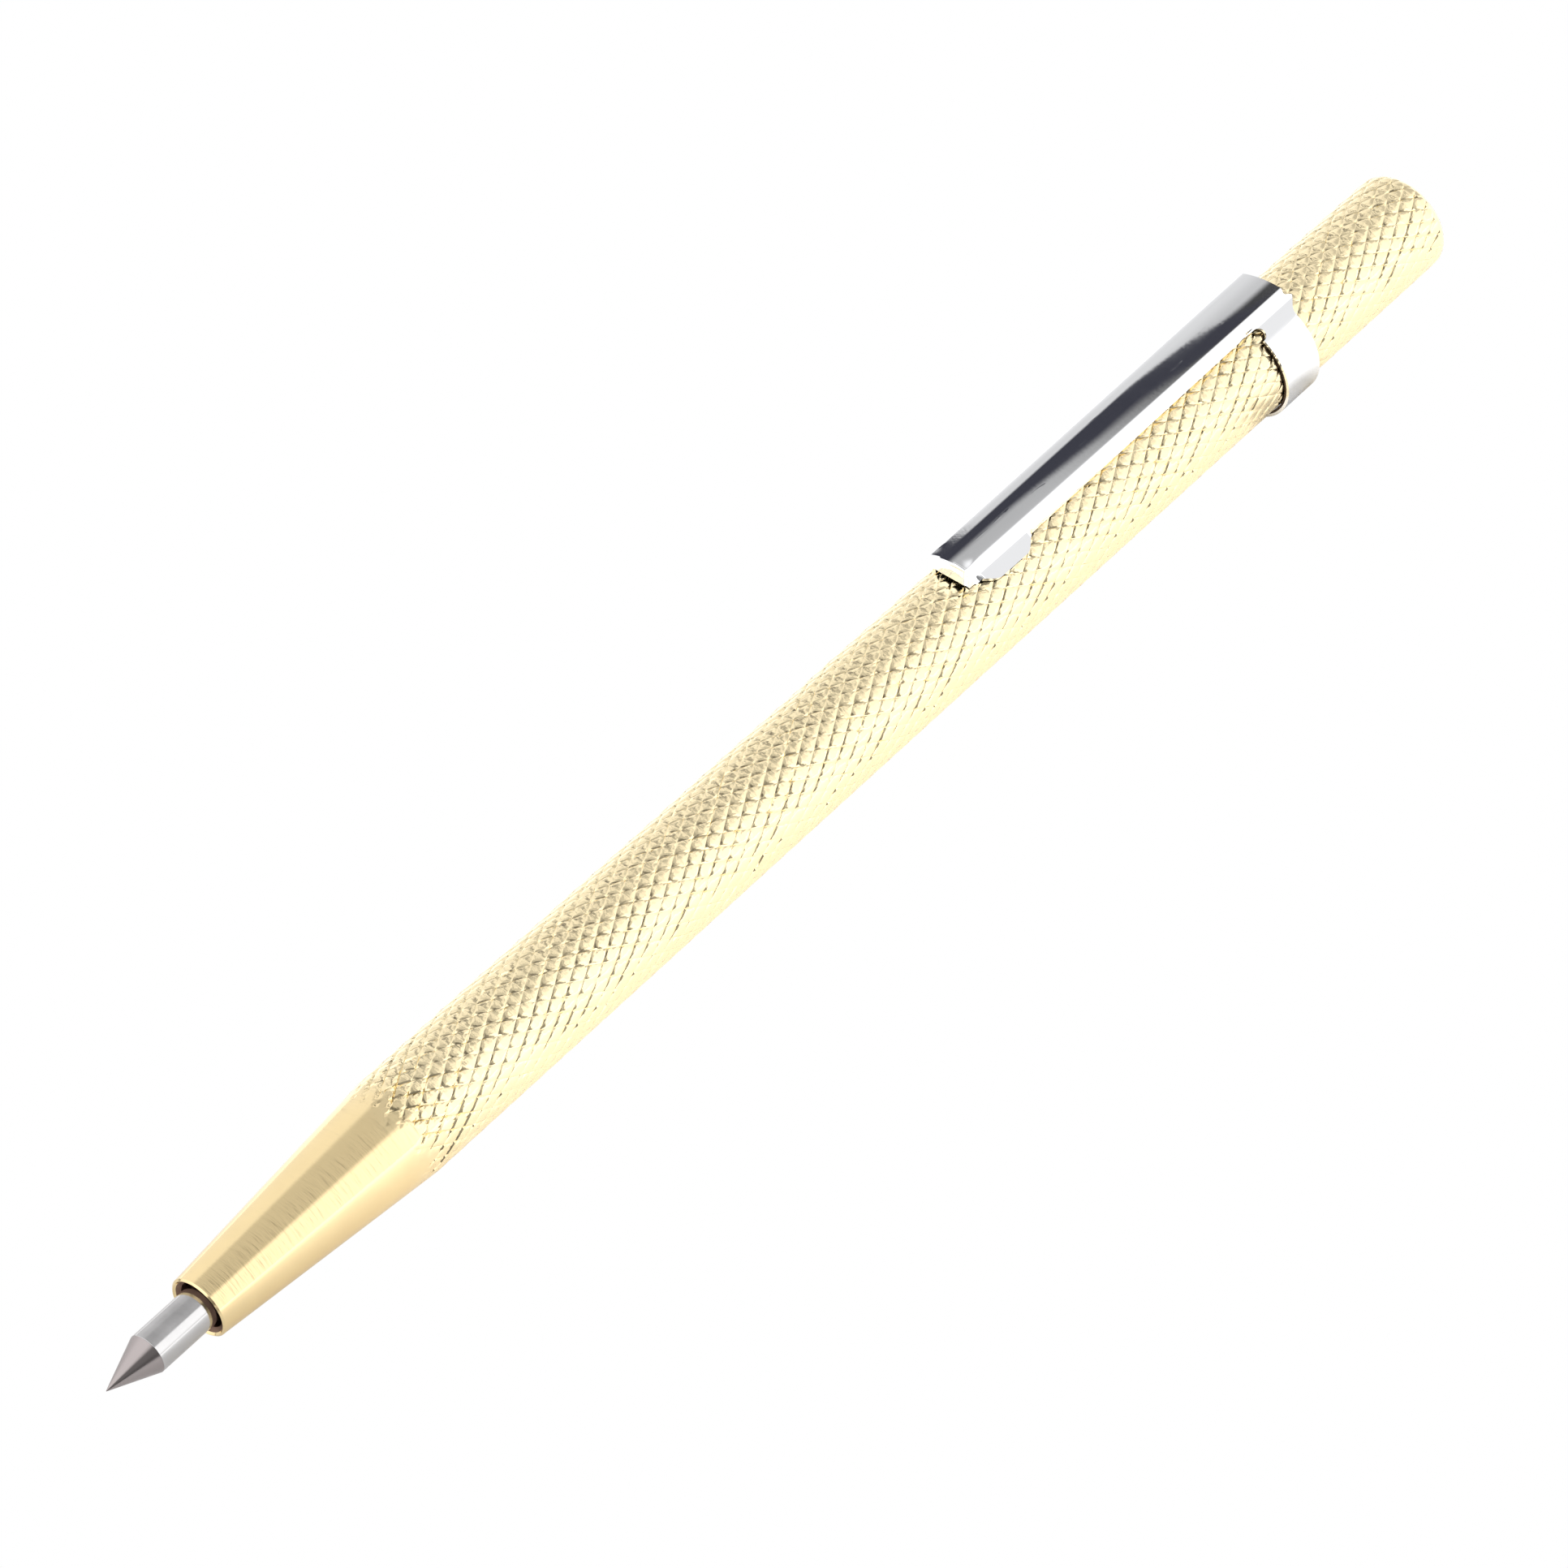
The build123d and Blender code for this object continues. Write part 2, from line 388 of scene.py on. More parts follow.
def make_world():
    """A soft studio all round: bright strips at both sides and a dimmer ceiling, cut by one dark stripe."""
    world = bpy.data.worlds.new("studio")
    bpy.context.scene.world = world
    add = node_tree(world)
    direction = add("ShaderNodeSeparateXYZ", {"Vector": add("ShaderNodeTexCoord").outputs["Generated"]})
    along = direction.outputs["X"]

    def math(operation, first, second=0.0):
        return add("ShaderNodeMath", {0: first, 1: second}, operation=operation).outputs[0]

    def step(value, low, high, start=0.0, end=1.0, kind="SMOOTHSTEP"):
        sockets = {"Value": value, "From Min": low, "From Max": high, "To Min": start, "To Max": end}
        return add("ShaderNodeMapRange", sockets, interpolation_type=kind).outputs["Result"]

    def mix(factor, first, second):
        sockets = {"Factor": factor, 6: first, 7: second}
        return add("ShaderNodeMix", sockets, data_type="RGBA").outputs[2]

    angle = math("DEGREES", math("ARCTAN2", direction.outputs["Y"], direction.outputs["Z"]))
    turn = step(angle, -180.0, 180.0, kind="LINEAR")
    light = None
    for levels, blend in CARDS:
        card = add("ShaderNodeValToRGB", {"Fac": turn})
        ramp(card, [((degrees + 180) / 360, grey(level / 2)) for degrees, level in levels])
        if light is None:
            light = card.outputs["Color"]
        else:
            light = mix(step(along, *blend), light, card.outputs["Color"])

    sinking = math("ADD", step(along, *STRIPE_TOP, "LINEAR"), step(along, *STRIPE_FLARE))
    sinking = math("ADD", sinking, step(along, *STRIPE_TOP_SINKS, "LINEAR"))
    top = math("ADD", sinking, step(along, *STRIPE_TOP_ENDS))
    foot = math("ADD", step(along, *STRIPE_FOOT, "LINEAR"), step(along, *STRIPE_FOOT_DROPS, "LINEAR"))
    below_top = step(math("SUBTRACT", angle, top), *STRIPE_TOP_BLUR)
    above_foot = step(math("SUBTRACT", angle, foot), *STRIPE_FOOT_BLUR)
    here = math("MULTIPLY", step(along, *STRIPE_APPEARS), step(along, *STRIPE_VANISHES))
    stripe = math("MULTIPLY", math("MULTIPLY", below_top, above_foot), here)
    light = mix(stripe, light, (*grey(0.5, STRIPE_COLOUR), 1))

    studio = add("ShaderNodeBackground", {"Color": light, "Strength": 2.0})
    plain = add("ShaderNodeBackground", {"Color": (1, 1, 1, 1), "Strength": 1.0})
    seen = add("ShaderNodeLightPath").outputs["Is Camera Ray"]
    both = add("ShaderNodeMixShader", {0: seen, 1: studio.outputs[0], 2: plain.outputs[0]})
    add("ShaderNodeOutputWorld", {"Surface": both.outputs[0]})


# Painted light on the floor, seen only in what the metal mirrors: a painted glow under the grip and in
# front, a painted shadow close under the clip's band, and painted shade beyond the tip. Each fade is (axis,
# from, to, level from, level to), in metres.
FLOOR_HALF_SIZE = 1.5
GLOW_UNDER_GRIP = ("X", -0.062, -0.03, 0.0, 0.5)
GLOW_IN_FRONT = ("Y", -0.08, -0.008, 0.55, 0.0)
PAINTED_SHADOW_NEAR_BAND = ("Y", -0.01, -0.006, 0.0, 0.5)
PAINTED_SHADOW_BELOW_BAND = (("X", 0.0485, 0.0505, 0.0, -1.0), ("X", 0.055, 0.0575, 0.0, 1.0))
PAINTED_SHADE_BEYOND_TIP = ("X", -0.085, -0.071, 0.3, 0.88)


def make_floor():
    """A plain white light table to the camera.

    What the metal mirrors of it has a painted glow under the grip and in front, a painted shadow close
    under the clip's band, and painted shade beyond the tip.
    """
    size = FLOOR_HALF_SIZE
    corners = [(-size, -size, 0), (size, -size, 0), (size, size, 0), (-size, size, 0)]
    mesh = bpy.data.meshes.new("floor")
    mesh.from_pydata(corners, [], [(0, 1, 2, 3)])
    floor = bpy.data.objects.new("floor", mesh)
    bpy.context.scene.collection.objects.link(floor)
    material = bpy.data.materials.new("pale_floor")
    add = node_tree(material)
    where = add("ShaderNodeSeparateXYZ", {"Vector": add("ShaderNodeTexCoord").outputs["Object"]})

    def fade(axis, start, end, level_at_start, level_at_end):
        sockets = {
            "Value": where.outputs[axis],
            "From Min": start,
            "From Max": end,
            "To Min": level_at_start,
            "To Max": level_at_end,
        }
        return add("ShaderNodeMapRange", sockets).outputs["Result"]

    under_grip = fade(*GLOW_UNDER_GRIP)
    in_front = fade(*GLOW_IN_FRONT)
    glow = add("ShaderNodeMath", {0: under_grip, 1: in_front}, operation="ADD").outputs[0]
    # Painted shadow of the band: where the floor lies close under the clip's band, the glow is taken away.
    close = fade(*PAINTED_SHADOW_NEAR_BAND)
    for change in PAINTED_SHADOW_BELOW_BAND:
        inputs = {0: fade(*change), 1: close, 2: glow}
        glow = add("ShaderNodeMath", inputs, operation="MULTIPLY_ADD").outputs[0]
    # Painted shade: beyond the tip the floor's white is lowered.
    lit = add(
        "ShaderNodeBsdfPrincipled",
        {
            "Base Color": fade(*PAINTED_SHADE_BEYOND_TIP),
            "Roughness": 0.9,
            "Emission Color": (1, 1, 1, 1),
            "Emission Strength": glow,
        },
    )
    burnt_out = add("ShaderNodeEmission", {"Color": (1, 1, 1, 1), "Strength": 1.0})
    seen = add("ShaderNodeLightPath").outputs["Is Camera Ray"]
    both = add("ShaderNodeMixShader", {0: seen, 1: lit.outputs[0], 2: burnt_out.outputs[0]})
    add("ShaderNodeOutputMaterial", {"Surface": both.outputs[0]})
    mesh.materials.append(material)


# ---------------------------------------------------------------- materials


# Lengths are in millimetres; the scales are in cells to the metre.
PATCH_SCALE = 450.0
PATCH_RANGE = (0.3, 0.7)
ROUGHNESS_SPREAD = (0.8, 1.25)
GRAIN_STRENGTH = 0.6
PALER_RAGGEDNESS = 2.5
PALER_LENGTH = 6
SCRATCH_SCALE = (260.0, 1900.0, 1900.0)
SCRATCH_SHARE = (0.68, 0.74)
SCRATCH_HEIGHT = 0.01


def metal(
    name,
    colour,
    roughness,
    grain,
    grain_depth,
    grain_stretch=(1, 1, 1),
    patches=0.06,
    scratches=0.0,
    paler=None,
):
    """A metal with grain in its surface, slow colour and roughness patches, and fine scratches.

    grain is the size of the grain in millimetres and grain_stretch draws it out along an axis. A metal
    that is paler where it is knurled changes raggedly from colour to paler round the shoulder.
    """
    material = bpy.data.materials.new(name)
    add = node_tree(material)
    where = add("ShaderNodeTexCoord").outputs["Object"]

    def stretch(factors):
        return add("ShaderNodeVectorMath", {0: where, 1: factors}, operation="MULTIPLY").outputs[0]

    def noise(vector, scale, detail):
        inputs = {"Vector": vector, "Scale": scale, "Detail": detail}
        return add("ShaderNodeTexNoise", inputs).outputs["Fac"]

    def blend(factor, first, second):
        sockets = {"Factor": factor, 6: first, 7: second}
        return add("ShaderNodeMix", sockets, data_type="RGBA").outputs[2]

    fine = noise(stretch(tuple(1 / (grain * MM * s) for s in grain_stretch)), 1.0, 3.0)
    slow = noise(where, PATCH_SCALE, 2.0)
    light = tuple(min(1.0, c * (1 + patches)) for c in colour)
    dark = tuple(c * (1 - patches) for c in colour)
    tint = blend(slow, (*dark, 1), (*light, 1))
    if paler:
        lengthwise = add("ShaderNodeSeparateXYZ", {"Vector": where}).outputs["X"]
        inputs = {0: slow, 1: PALER_RAGGEDNESS * MM, 2: lengthwise}
        ragged = add("ShaderNodeMath", inputs, operation="MULTIPLY_ADD").outputs[0]
        start = TIP_X + KNURL_FROM_X * MM
        sockets = {"Value": ragged, "From Min": start, "From Max": start + PALER_LENGTH * MM}
        knurled = add("ShaderNodeMapRange", sockets, interpolation_type="SMOOTHSTEP").outputs["Result"]
        tint = blend(knurled, tint, (*paler, 1))
    smoothest, roughest = (roughness * share for share in ROUGHNESS_SPREAD)
    low, high = PATCH_RANGE
    sockets = {"Value": slow, "From Min": low, "From Max": high, "To Min": smoothest, "To Max": roughest}
    rough = add("ShaderNodeMapRange", sockets).outputs["Result"]
    inputs = {"Height": fine, "Strength": GRAIN_STRENGTH, "Distance": grain_depth * MM}
    bump = add("ShaderNodeBump", inputs).outputs["Normal"]
    if scratches:
        low, high = SCRATCH_SHARE
        cells = noise(stretch(SCRATCH_SCALE), 1.0, 1.0)
        lines = add("ShaderNodeMapRange", {"Value": cells, "From Min": low, "From Max": high})
        inputs = {
            "Height": lines.outputs["Result"],
            "Strength": scratches,
            "Distance": SCRATCH_HEIGHT * MM,
            "Normal": bump,
        }
        bump = add("ShaderNodeBump", inputs).outputs["Normal"]
    surface = add(
        "ShaderNodeBsdfPrincipled",
        {"Base Color": tint, "Metallic": 1.0, "Roughness": rough, "Normal": bump},
    )
    add("ShaderNodeOutputMaterial", {"Surface": surface.outputs[0]})
    return material


def make_materials():
    """Every metal of the scriber: colour, roughness, size and depth of its grain, and what else it has."""
    return {
        "gold": metal("gold", (0.95, 0.75, 0.42), 0.13, 0.3, 0.018, (1, 7, 7), paler=(0.98, 0.83, 0.53)),
        "carbide": metal("carbide", (0.38, 0.34, 0.335), 0.2, 0.05, 0.002, (8, 1, 1)),
        "steel": metal("steel", (0.58, 0.57, 0.57), 0.14, 0.08, 0.002, (1, 10, 10)),
        # Painted shadow: near-black for the gap between the band's front rim and the barrel.
        "gap_shadow_paint": metal("gap_shadow_paint", (0.06, 0.04, 0.03), 0.4, 0.1, 0.004),
        # Painted shade: dark brown for the inside of the bore.
        "bore_painted_shade": metal("bore_painted_shade", (0.3, 0.19, 0.14), 0.5, 0.1, 0.004),
        "brass": metal("brass", (0.78, 0.58, 0.25), 0.28, 0.1, 0.004),
        "dull_steel": metal("dull_steel", (0.5, 0.5, 0.5), 0.38, 0.1, 0.004),
        "chrome": metal("chrome", (0.93, 0.935, 0.95), 0.028, 0.3, 0.0004, scratches=0.2, patches=0.01),
    }


# ---------------------------------------------------------------- mesh helpers


def make_piece(name, points, faces, materials, body, replaced, sharp=40, skin=None):
    """A mesh object from pen-frame points, shaded smooth between sharp edges, riding on its body."""
    mesh = bpy.data.meshes.new(name)
    mesh.from_pydata([place(*p) for p in points], [], faces)
    mesh.validate()
    for material in materials:
        mesh.materials.append(material)
    if skin:
        mesh.polygons.foreach_set("material_index", skin)
    shell = bmesh.new()
    shell.from_mesh(mesh)
    bmesh.ops.recalc_face_normals(shell, faces=shell.faces)
    shell.to_mesh(mesh)
    shell.free()
    mesh.polygons.foreach_set("use_smooth", [True] * len(mesh.polygons))
    mesh.set_sharp_from_angle(angle=radians(sharp))
    piece = bpy.data.objects.new(name, mesh)
    bpy.context.scene.collection.objects.link(piece)
    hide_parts(*replaced)
    if body:
        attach(piece, body)
    return piece


def lathe(profile):
    """Points and faces of a turned shape whose profile of (x, radius) starts and ends on the axis."""
    (front_x, _), *rings, (rear_x, _) = profile
    points = [
        (x, r * sin(2 * pi * j / TURNED_SEGMENTS), r * cos(2 * pi * j / TURNED_SEGMENTS))
        for x, r in rings
        for j in range(TURNED_SEGMENTS)
    ]
    front = len(points)
    rear = front + 1
    last_ring = front - TURNED_SEGMENTS
    points += [(front_x, 0, 0), (rear_x, 0, 0)]
    faces = []
    for ring in range(0, last_ring, TURNED_SEGMENTS):
        next_ring = ring + TURNED_SEGMENTS
        for j in range(TURNED_SEGMENTS):
            following = (j + 1) % TURNED_SEGMENTS
            faces.append((ring + j, ring + following, next_ring + following, next_ring + j))
    for j in range(TURNED_SEGMENTS):
        following = (j + 1) % TURNED_SEGMENTS
        faces.append((front, following, j))
        faces.append((rear, last_ring + j, last_ring + following))
    return points, faces


# ---------------------------------------------------------------- barrel


def taper_radius(x):
    """Radius of the nose's taper, which would go on growing behind the shoulder."""
    return MOUTH_R + (x - MOUTH_X) * (BARREL_R - MOUTH_R) / (SHOULDER_X - MOUTH_X)


def barrel_rings():
    """Rings (x, radius) from the rear bore forwards, out through the mouth and back along the outside.

    Also gives the index of the first knurled ring and the number of lattice steps along the knurl. The
    knurled rings only hold their places here.
    """
    taper_from = MOUTH_X + MOUTH_EDGE
    rings = [
        (THREAD_BORE_X, THREAD_BORE_R),
        (THREAD_BORE_X, MAIN_BORE_R),
        (SEAT_REAR_X, MAIN_BORE_R),
        (SEAT_FRONT_X, MOUTH_BORE_R),
        (MOUTH_X + MOUTH_COUNTERSINK, MOUTH_BORE_R),
        (MOUTH_X + MOUTH_GOLD_DEPTH, MOUTH_BORE_R + MOUTH_COUNTERSINK - MOUTH_GOLD_DEPTH),
        (MOUTH_X, MOUTH_BORE_R + MOUTH_COUNTERSINK),
        (MOUTH_X, MOUTH_R - MOUTH_EDGE),
    ]
    for n in range(TAPER_RINGS):
        x = taper_from + (KNURL_FROM_X - taper_from) * n / TAPER_RINGS
        rings.append((x, taper_radius(x)))
    first_knurled = len(rings)
    knurl_length = BARREL_END - REAR_EDGE_R - KNURL_FROM_X + REAR_EDGE_R * pi / 2 * KNURL_REAR_SHARE
    knurl_steps = int(knurl_length / KNURL_STEP_LENGTH)
    rings += [(KNURL_FROM_X, BARREL_R)] * (knurl_steps + 1)
    rings += [
        (BARREL_END, BARREL_R - REAR_EDGE_R),
        (BARREL_END, THREAD_BORE_R + THREAD_CHAMFER),
        (BARREL_END - THREAD_CHAMFER, THREAD_BORE_R),
    ]
    return rings, first_knurled, knurl_steps


def barrel_points(rings, first_knurled, knurl_steps):
    """The points of every ring, with both families of grooves cut into the knurled ones.

    The grooves run along diagonals of the lattice. Moving the diagonals next to a groove towards it makes
    the groove narrow and its walls steep, and leaves wide flat diamonds. Each edge of a diamond has a
    depth of its own, deepest just past a crossing.
    """
    rng = np.random.default_rng(11)
    left_depth = 1 + GROOVE_SPREAD * rng.standard_normal(KNURL_STARTS)
    right_depth = 1 + GROOVE_SPREAD * rng.standard_normal(KNURL_STARTS)
    i = np.arange(len(rings))[:, None] - first_knurled
    j = np.arange(KNURL_COLUMNS)[None, :]
    is_knurled = (i >= 0) & (i <= knurl_steps)

    shift = np.array([0.0, KNURL_WALL - 1, -KNURL_CROWDING, 0.0, KNURL_CROWDING, 1 - KNURL_WALL])
    lean_right = shift[(i + j) % KNURL_STEPS] / 2
    lean_left = shift[(i - j) % KNURL_STEPS] / 2
    inside = (i > 0) & (i < knurl_steps)
    travel = KNURL_FROM_X + (i + np.where(inside, lean_right + lean_left, 0)) * KNURL_STEP_LENGTH
    angle = 2 * pi * (j + np.where(inside, lean_right - lean_left, 0)) / KNURL_COLUMNS

    # Travel goes straight along the barrel, then round its rear edge.
    past = travel - (BARREL_END - REAR_EDGE_R)
    turn = np.clip(past / REAR_EDGE_R, 0, pi / 2)
    turned_x = BARREL_END - REAR_EDGE_R * (1 - np.sin(turn))
    turned_r = BARREL_R - REAR_EDGE_R * (1 - np.cos(turn))
    knurl_x = np.where(past <= 0, travel, turned_x)

    rise = np.array(KNURL_RISE)
    cuts = []
    for diagonal, other, depth, sense in ((i + j, i - j, right_depth, 1), (i - j, i + j, left_depth, -1)):
        phase = diagonal % KNURL_STEPS
        groove = np.rint(diagonal / KNURL_STEPS).astype(int) % KNURL_STARTS
        edge = other // KNURL_STEPS % EDGES_PER_GROOVE
        edge_depth = rng.uniform(*EDGE_DEPTHS, (KNURL_STARTS, EDGES_PER_GROOVE))[groove, edge]
        past_crossing = sense * other % KNURL_STEPS / KNURL_STEPS
        edge_depth = edge_depth * (EDGE_START - EDGE_FADE * past_crossing)
        fall = 1 - rise[np.minimum(phase, KNURL_STEPS - phase)]
        run_out = 1 + RUN_OUT_DEPTH * np.exp(-np.maximum(travel - SHOULDER_X, 0) / RUN_OUT_LENGTH)
        cuts.append(KNURL_DEPTH * depth[groove] * edge_depth * run_out * fall)
    cut = np.maximum(*cuts) + KNURL_NOISE * rng.random(cuts[0].shape)
    fade = np.clip((BARREL_END - knurl_x) / REAR_EDGE_R, 0, 1)
    on_barrel = np.minimum(taper_radius(travel), BARREL_R - cut)
    knurl_r = np.where(past <= 0, on_barrel, turned_r - cut * fade)

    ring_x, ring_r = (np.array(column)[:, None] for column in zip(*rings))
    x = np.where(is_knurled, knurl_x, ring_x)
    radius = np.where(is_knurled, knurl_r, ring_r)
    return np.stack([x, radius * np.sin(angle), radius * np.cos(angle)], axis=-1).reshape(-1, 3)


def barrel_faces(ring_count, first_knurled, knurl_steps):
    """Faces all round the barrel's wall, and each face's material: 1 in the bore, painted dark brown as
    painted shade, 0 elsewhere.

    The last ring joins up with the first. Knurled quads are split so that no edge crosses a groove.
    """
    faces = []
    skin = []
    for ring in range(ring_count):
        step = ring - first_knurled
        for column in range(KNURL_COLUMNS):
            following = (column + 1) % KNURL_COLUMNS
            next_ring = (ring + 1) % ring_count
            a = ring * KNURL_COLUMNS + column
            b = ring * KNURL_COLUMNS + following
            c = next_ring * KNURL_COLUMNS + following
            d = next_ring * KNURL_COLUMNS + column
            if not 0 <= step < knurl_steps:
                faces.append((a, b, c, d))
                skin.append(1 if ring < PAINTED_SHADE_RINGS else 0)
                continue
            on_right = (step + column + 1) % KNURL_STEPS == 0
            on_left = (step - column) % KNURL_STEPS == 0
            leans_right = (step + column) % KNURL_STEPS < (step - column) % KNURL_STEPS
            if on_right or (leans_right and not on_left):
                faces += [(a, b, d), (b, c, d)]
            else:
                faces += [(a, b, c), (a, c, d)]
            skin += [0, 0]
    return faces, skin


def make_barrel(materials):
    """The tube in one piece: bores, polished taper and raised diamonds that run out on to the taper."""
    rings, first_knurled, knurl_steps = barrel_rings()
    faces, skin = barrel_faces(len(rings), first_knurled, knurl_steps)
    make_piece(
        "knurled_barrel",
        barrel_points(rings, first_knurled, knurl_steps).tolist(),
        faces,
        [materials["gold"], materials["bore_painted_shade"]],
        "barrel",
        ["barrel"],
        25,
        skin,
    )


# ---------------------------------------------------------------- point


def make_point(materials):
    """The ground carbide cone and the polished shank behind it."""
    slope = (SHANK_R - TIP_FLAT_R) / CONE_LENGTH
    cone = [(0, 0), (0, TIP_FACE_R), (TIP_BEVEL, TIP_FLAT_R)]
    for n in range(1, CONE_RINGS):
        x = CONE_LENGTH * n / CONE_RINGS
        cone.append((x, TIP_FLAT_R + x * slope))
    cone += [
        (CONE_LENGTH - POINT_EDGE, SHANK_R - POINT_EDGE * slope),
        (CONE_LENGTH, SHANK_R - POINT_EDGE),
        (CONE_LENGTH, 0),
    ]
    points, faces = lathe(cone)
    make_piece("carbide_cone", points, faces, [materials["carbide"]], "point", ["carbide_tip"], 30)

    straight = SHANK_END - SHANK_TAIL_CHAMFER - CONE_LENGTH
    shank = [(CONE_LENGTH, 0), (CONE_LENGTH, SHANK_R - POINT_EDGE), (CONE_LENGTH + POINT_EDGE, SHANK_R)]
    shank += [(CONE_LENGTH + straight * n / SHANK_RINGS, SHANK_R) for n in range(1, SHANK_RINGS + 1)]
    shank += [(SHANK_END, SHANK_R - SHANK_TAIL_CHAMFER), (SHANK_END, 0)]
    points, faces = lathe(shank)
    make_piece("round_shank", points, faces, [materials["steel"]], "point", ["point_shank"])


# ---------------------------------------------------------------- clip


def smooth(t):
    """A smooth step from 0 to 1."""
    t = min(1.0, max(0.0, t))
    return t * t * (3 - 2 * t)


def arc_step(heading, turned, length):
    """The move along an arc, with headings measured from straight down towards outwards."""
    if abs(turned) < 1e-9:
        return sin(heading) * length, -cos(heading) * length
    radius = length / turned
    return radius * (cos(heading) - cos(heading + turned)), radius * (sin(heading) - sin(heading + turned))


FOOT_TURN = pi / 2 - PATCH_TILT
BEND_LENGTH = FOOT_TURN * FOOT_BEND_R


class ClipSection:
    """One half of the clip's section across X, at the outer face or inset by the sheet's thickness."""

    def __init__(self, x, inset):
        x = min(x, BAND_FRONT)
        near_nose = smooth((CLIP_FRONT + NOSE_BEND_R + NOSE_LENGTH - x) / NOSE_LENGTH)
        widening = (REAR_HALF_WIDTH - FRONT_HALF_WIDTH) / (CLIP_REAR - CLIP_FRONT)
        full = FRONT_HALF_WIDTH + (x - CLIP_FRONT) * widening
        drop = CROWN_DROP + NOSE_DROP * near_nose**2
        bend = EDGE_BEND_R + (NOSE_BEND_R - EDGE_BEND_R) * near_nose
        self.inset = inset
        self.half_width = full - inset
        self.crown = CROWN_H - inset
        self.crown_r = (full**2 + drop**2) / (2 * drop) - inset
        self.bend_r = max(bend - inset, INNER_BEND_R)
        self.bend_y = self.half_width - self.bend_r
        reach = self.crown_r - self.bend_r
        self.bend_z = self.crown - self.crown_r + sqrt(reach**2 - self.bend_y**2)
        self.bend_start = asin(self.bend_y / reach)
        # The flat stretch below the foot bend runs into the band where the band's normal tilts this far.
        meets_y = BAND_OUTER_R * sin(PATCH_TILT)
        meets_z = BAND_OUTER_R * cos(PATCH_TILT)
        patch = (meets_y - full) / cos(PATCH_TILT)
        corner = FOOT_BEND_R * tan(FOOT_TURN / 2)
        self.flat = patch - corner
        self.foot_z = meets_z + patch * sin(PATCH_TILT) + corner

    def crown_point(self, t):
        angle = self.bend_start * t
        return self.crown_r * sin(angle), self.crown - self.crown_r * (1 - cos(angle))

    def bend_point(self, t):
        angle = self.bend_start + (pi / 2 - self.bend_start) * t
        return self.bend_y + self.bend_r * sin(angle), self.bend_z + self.bend_r * cos(angle)

    def wall_point(self, t, bottom):
        return self.half_width, self.bend_z + (bottom - self.bend_z) * t

    def foot_point(self, distance, spread):
        """Below the wall, by distance along the outer face: a bend, a flat stretch, then round the band."""
        share = min(distance / BEND_LENGTH, 1.0)
        heading = spread * FOOT_TURN * share
        y, z = arc_step(0, heading, BEND_LENGTH * share + self.inset * heading)
        flat = min(max(distance - BEND_LENGTH, 0), self.flat)
        y += self.half_width + sin(heading) * flat
        z += self.foot_z - cos(heading) * flat
        around = max(distance - BEND_LENGTH - self.flat, 0)
        turned = -spread * around / BAND_OUTER_R
        dy, dz = arc_step(heading, turned, around + self.inset * turned)
        return y + dy, z + dz


# How finely the sheet is divided.
CROWN_STEPS = 9
BEND_STEPS = 6
WALL_STEPS = 4
FOOT_STEPS = 10
NOTCH_STEPS = 10
RING_STEPS = 44
CORNER_STEPS = 5
BAND_ROWS = 14


def flange_edge(x):
    """How far the flange reaches down, as a height above the axis."""
    share = (min(x, BAND_FRONT) - FLANGE_FROM_X) / (BAND_FRONT - FLANGE_FROM_X)
    return FLANGE_FRONT_Z + share * (FLANGE_REAR_Z - FLANGE_FRONT_Z)


def foot_state(x):
    """How far the sheet below the wall is spread outwards, and where the flange's edge is along it."""
    plain = ClipSection(x, 0).foot_z - flange_edge(x)
    off = abs(x - LOBE_X)
    lobe = smooth((LOBE_HALF_LENGTH - off) / LOBE_BLEND)
    outline = smooth((LOBE_HALF_LENGTH - off) / LOBE_TAPER)
    at_band = smooth((x - (BAND_FRONT - BAND_BLEND)) / BAND_BLEND)
    lobe_edge = LOBE_ROOT + (LOBE_LENGTH - LOBE_ROOT) * outline
    return max(lobe, at_band), plain * (1 - lobe) + lobe_edge * lobe


def half_section(x, inset):
    """Points (y, z) from the crown to the flange's edge."""
    section = ClipSection(x, inset)
    spread, edge = foot_state(x)
    points = [section.crown_point(i / CROWN_STEPS) for i in range(CROWN_STEPS)]
    points += [section.bend_point(i / BEND_STEPS) for i in range(BEND_STEPS)]
    points += [section.wall_point(i / WALL_STEPS, section.foot_z) for i in range(WALL_STEPS)]
    bent = min(BEND_LENGTH, edge * FOOT_BEND_SHARE)
    half = FOOT_STEPS // 2
    distances = [bent * i / half for i in range(half)]
    distances += [bent + (edge - bent) * i / half for i in range(half + 1)]
    for distance in distances:
        y, z = section.foot_point(distance, spread)
        lowest = sqrt(max(0.0, BEARING_R**2 - y * y))
        points.append((y, max(z, lowest) if y < BEARING_R else z))
    return points


